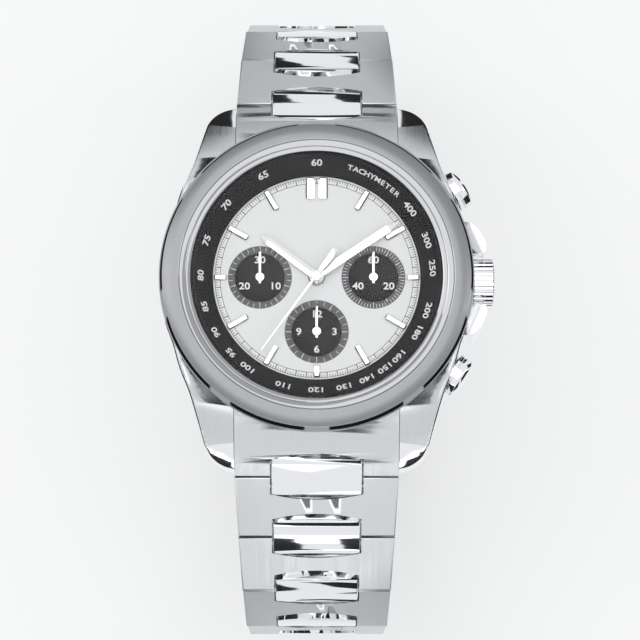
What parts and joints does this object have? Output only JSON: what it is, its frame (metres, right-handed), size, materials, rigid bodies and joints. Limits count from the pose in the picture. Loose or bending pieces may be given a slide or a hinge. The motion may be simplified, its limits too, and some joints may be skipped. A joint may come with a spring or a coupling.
{
  "type": "chronograph wristwatch",
  "caption": "Round steel chronograph wristwatch with three registers, tachymeter ring, pushers, crown and a closed link bracelet with folding clasp.",
  "frame": {"origin": "centre of the case back's outer face, where the watch rests on the wrist", "axes": "+Z out of the dial towards the viewer, +Y to 12 o'clock along the bracelet, +X to 3 o'clock and the crown"},
  "size_m": [0.0449, 0.0873, 0.0545],
  "materials": {
    "steel_satin": "satin brushed",
    "steel_polished": "mirror polished",
    "sapphire": "clear polished",
    "gasket": "matt",
    "tachy_black": "satin black",
    "dial_silver": "silvery white satin",
    "register_black": "gloss black",
    "hand_polished": "polished",
    "nickel": "rhodium-plated brass",
    "gilt": "gilt brass",
    "ruby": "polished synthetic ruby",
    "blued": "heat-blued steel",
    "ring_plastic": "moulded"
  },
  "bodies": {
    "case": {"balance_cock": "nickel", "bezel": "steel_satin", "bridge_screws": "blued", "case_back": "steel_satin", "case_back_crystal": "sapphire", "case_gaskets": "gasket", "case_middle": "steel_satin", "case_tubes": "steel_polished", "crystal": "sapphire", "dial": "dial_silver", "end_links": "steel_satin", "hairspring": "blued", "hour_markers": "hand_polished", "jewels": "ruby", "main_plate": "nickel", "movement_ring": "ring_plastic", "spring_bars": "steel_polished", "subdial_plates": "register_black", "tachymeter_ring": "tachy_black", "train_bridge": "nickel"},
    "winding_stem": {"winding_stem": "steel_polished"},
    "crown": {"crown": "steel_polished"},
    "start_pusher": {"start_pusher": "steel_polished"},
    "reset_pusher": {"reset_pusher": "steel_polished"},
    "hour_hand": {"hour_hand": "hand_polished"},
    "center_wheel": {"center_wheel": "gilt", "minute_hand": "hand_polished"},
    "chrono_seconds": {"chrono_seconds_hand": "hand_polished", "chrono_runner_wheel": "gilt"},
    "fourth_wheel": {"fourth_wheel": "gilt", "small_seconds_hand": "hand_polished"},
    "minute_counter": {"minute_counter_hand": "hand_polished"},
    "hour_counter": {"hour_counter_hand": "hand_polished"},
    "third_wheel": {"third_wheel": "gilt"},
    "escape_wheel": {"escape_wheel": "gilt"},
    "pallet_fork": {"pallet_fork": "nickel"},
    "balance_wheel": {"balance_wheel": "gilt"},
    "barrel": {"barrel": "gilt"},
    "rotor": {"rotor": "nickel"},
    "column_wheel": {"column_wheel": "nickel"},
    "reset_hammer": {"reset_hammer": "nickel"},
    "link_12_1": {"link_12_1": "steel_satin"},
    "link_12_2": {"link_12_2": "steel_satin"},
    "link_12_3": {"link_12_3": "steel_satin"},
    "link_12_4": {"link_12_4": "steel_satin"},
    "link_12_5": {"link_12_5": "steel_satin"},
    "link_12_6": {"link_12_6": "steel_satin"},
    "link_12_7": {"link_12_7": "steel_satin"},
    "link_6_1": {"link_6_1": "steel_satin"},
    "link_6_2": {"link_6_2": "steel_satin"},
    "link_6_3": {"link_6_3": "steel_satin"},
    "link_6_4": {"link_6_4": "steel_satin"},
    "link_6_5": {"link_6_5": "steel_satin"},
    "link_6_6": {"link_6_6": "steel_satin"},
    "link_6_7": {"link_6_7": "steel_satin"},
    "clasp_blade_inner": {"clasp_blade_inner": "steel_satin"},
    "clasp_blade_outer": {"clasp_blade_outer": "steel_satin"},
    "clasp_cover": {"clasp_cover": "steel_satin"},
    "clasp_button_right": {"clasp_button_right": "steel_polished"},
    "clasp_button_left": {"clasp_button_left": "steel_polished"}
  },
  "joints": [
    {"name": "crown_pull", "type": "slide", "parent": "case", "child": "winding_stem", "axis": [1, 0, 0], "range_m": [0, 0.0019]},
    {"name": "crown_turn", "type": "hinge", "parent": "winding_stem", "child": "crown", "pos_m": [0.022, 0, 0.0064], "axis": [1, 0, 0], "continuous": true},
    {"name": "start_press", "type": "slide", "parent": "case", "child": "start_pusher", "axis": [-0.829, -0.5592, 0], "range_m": [0, 0.001], "stiffness_N_per_m": 1500, "springref_m": -0.0005},
    {"name": "reset_press", "type": "slide", "parent": "case", "child": "reset_pusher", "axis": [-0.829, 0.5592, 0], "range_m": [0, 0.001], "stiffness_N_per_m": 1500, "springref_m": -0.0005},
    {"name": "seconds_turn", "type": "hinge", "parent": "case", "child": "fourth_wheel", "pos_m": [0.0075, 0, 0.009], "axis": [0, 0, -1], "continuous": true},
    {"name": "third_turn", "type": "hinge", "parent": "case", "child": "third_wheel", "pos_m": [0.0039, 0.00225, 0.006], "axis": [0, 0, -1], "continuous": true},
    {"name": "center_turn", "type": "hinge", "parent": "case", "child": "center_wheel", "pos_m": [0, 0, 0.008], "axis": [0, 0, -1], "continuous": true},
    {"name": "hour_turn", "type": "hinge", "parent": "case", "child": "hour_hand", "pos_m": [0, 0, 0.01], "axis": [0, 0, -1], "continuous": true},
    {"name": "escape_turn", "type": "hinge", "parent": "case", "child": "escape_wheel", "pos_m": [0.00841, -0.00352, 0.0064], "axis": [0, 0, -1], "continuous": true},
    {"name": "barrel_turn", "type": "hinge", "parent": "case", "child": "barrel", "pos_m": [-0.00315, 0.00546, 0.006], "axis": [0, 0, -1], "continuous": true},
    {"name": "chrono_turn", "type": "hinge", "parent": "case", "child": "chrono_seconds", "pos_m": [0, 0, 0.0112], "axis": [0, 0, -1], "continuous": true},
    {"name": "minute_counter_turn", "type": "hinge", "parent": "case", "child": "minute_counter", "pos_m": [-0.0075, 0, 0.01], "axis": [0, 0, -1], "continuous": true},
    {"name": "hour_counter_turn", "type": "hinge", "parent": "case", "child": "hour_counter", "pos_m": [0, -0.0073, 0.01], "axis": [0, 0, -1], "continuous": true},
    {"name": "balance_swing", "type": "hinge", "parent": "case", "child": "balance_wheel", "pos_m": [0.004, -0.0082, 0.005], "axis": [0, 0, -1], "range_deg": [-270, 270], "stiffness_Nm_per_rad": 0.0000006},
    {"name": "pallet_rock", "type": "hinge", "parent": "case", "child": "pallet_fork", "pos_m": [0.00655, -0.00535, 0.0064], "axis": [0, 0, -1], "range_deg": [-5, 5]},
    {"name": "rotor_turn", "type": "hinge", "parent": "case", "child": "rotor", "pos_m": [0, 0, 0.0026], "axis": [0, 0, -1], "continuous": true},
    {"name": "column_wheel_turn", "type": "hinge", "parent": "case", "child": "column_wheel", "pos_m": [-0.0096, -0.0064, 0.005], "axis": [0, 0, -1], "range_deg": [0, 30]},
    {"name": "reset_hammer_turn", "type": "hinge", "parent": "case", "child": "reset_hammer", "pos_m": [-0.0102, -0.0022, 0.0057], "axis": [0, 0, -1], "range_deg": [0, 8]},
    {"name": "link_12_1_hinge", "type": "hinge", "parent": "case", "child": "link_12_1", "pos_m": [0, 0.0236, 0.0022], "axis": [1, 0, 0], "range_deg": [0, 10]},
    {"name": "link_12_2_hinge", "type": "hinge", "parent": "link_12_1", "child": "link_12_2", "pos_m": [0, 0.03103, -0.00127], "axis": [1, 0, 0], "range_deg": [0, 20.5]},
    {"name": "link_12_3_hinge", "type": "hinge", "parent": "link_12_2", "child": "link_12_3", "pos_m": [0, 0.03698, -0.00691], "axis": [1, 0, 0], "range_deg": [0, 22.5]},
    {"name": "link_12_4_hinge", "type": "hinge", "parent": "link_12_3", "child": "link_12_4", "pos_m": [0, 0.04057, -0.01428], "axis": [1, 0, 0], "range_deg": [0, 26]},
    {"name": "link_12_5_hinge", "type": "hinge", "parent": "link_12_4", "child": "link_12_5", "pos_m": [0, 0.04086, -0.02247], "axis": [1, 0, 0], "range_deg": [0, 28]},
    {"name": "link_12_6_hinge", "type": "hinge", "parent": "link_12_5", "child": "link_12_6", "pos_m": [0, 0.03753, -0.02997], "axis": [1, 0, 0], "range_deg": [0, 30]},
    {"name": "link_12_7_hinge", "type": "hinge", "parent": "link_12_6", "child": "link_12_7", "pos_m": [0, 0.03106, -0.03501], "axis": [1, 0, 0], "range_deg": [0, 28]},
    {"name": "link_6_1_hinge", "type": "hinge", "parent": "case", "child": "link_6_1", "pos_m": [0, -0.0236, 0.0022], "axis": [-1, 0, 0], "range_deg": [0, 9]},
    {"name": "link_6_2_hinge", "type": "hinge", "parent": "link_6_1", "child": "link_6_2", "pos_m": [0, -0.0312, -0.00087], "axis": [-1, 0, 0], "range_deg": [0, 16]},
    {"name": "link_6_3_hinge", "type": "hinge", "parent": "link_6_2", "child": "link_6_3", "pos_m": [0, -0.03784, -0.00569], "axis": [-1, 0, 0], "range_deg": [0, 24]},
    {"name": "link_6_4_hinge", "type": "hinge", "parent": "link_6_3", "child": "link_6_4", "pos_m": [0, -0.04218, -0.01265], "axis": [-1, 0, 0], "range_deg": [0, 28]},
    {"name": "link_6_5_hinge", "type": "hinge", "parent": "link_6_4", "child": "link_6_5", "pos_m": [0, -0.04304, -0.0208], "axis": [-1, 0, 0], "range_deg": [0, 30]},
    {"name": "link_6_6_hinge", "type": "hinge", "parent": "link_6_5", "child": "link_6_6", "pos_m": [0, -0.03997, -0.0284], "axis": [-1, 0, 0], "range_deg": [0, 32]},
    {"name": "link_6_7_hinge", "type": "hinge", "parent": "link_6_6", "child": "link_6_7", "pos_m": [0, -0.03351, -0.03345], "axis": [-1, 0, 0], "range_deg": [0, 28]},
    {"name": "clasp_inner_hinge", "type": "hinge", "parent": "link_6_7", "child": "clasp_blade_inner", "pos_m": [0, -0.02549, -0.03516], "axis": [-1, 0, 0], "range_deg": [0, 10]},
    {"name": "clasp_outer_hinge", "type": "hinge", "parent": "clasp_blade_inner", "child": "clasp_blade_outer", "pos_m": [0, 0.0177, -0.03701], "axis": [1, 0, 0], "range_deg": [0, 95]},
    {"name": "clasp_cover_hinge", "type": "hinge", "parent": "clasp_blade_outer", "child": "clasp_cover", "pos_m": [0, -0.02168, -0.03611], "axis": [-1, 0, 0], "range_deg": [0, 95]},
    {"name": "clasp_button_right_press", "type": "slide", "parent": "clasp_cover", "child": "clasp_button_right", "axis": [-1, 0, 0], "range_m": [0, 0.0007], "stiffness_N_per_m": 400, "springref_m": -0.0004},
    {"name": "clasp_button_left_press", "type": "slide", "parent": "clasp_cover", "child": "clasp_button_left", "axis": [1, 0, 0], "range_m": [0, 0.0007], "stiffness_N_per_m": 400, "springref_m": -0.0004}
  ],
  "couplings": [
    {"joint": "third_turn", "follows": "seconds_turn", "ratio": -0.13333},
    {"joint": "center_turn", "follows": "seconds_turn", "ratio": 0.016667},
    {"joint": "hour_turn", "follows": "seconds_turn", "ratio": 0.0013889},
    {"joint": "escape_turn", "follows": "seconds_turn", "ratio": -12},
    {"joint": "barrel_turn", "follows": "seconds_turn", "ratio": -0.0027778},
    {"joint": "minute_counter_turn", "follows": "chrono_turn", "ratio": 0.033333},
    {"joint": "hour_counter_turn", "follows": "chrono_turn", "ratio": 0.0013889},
    {"joint": "column_wheel_turn", "follows": "start_press", "rad_per_m": 523.6},
    {"joint": "reset_hammer_turn", "follows": "reset_press", "rad_per_m": 139.63}
  ]
}
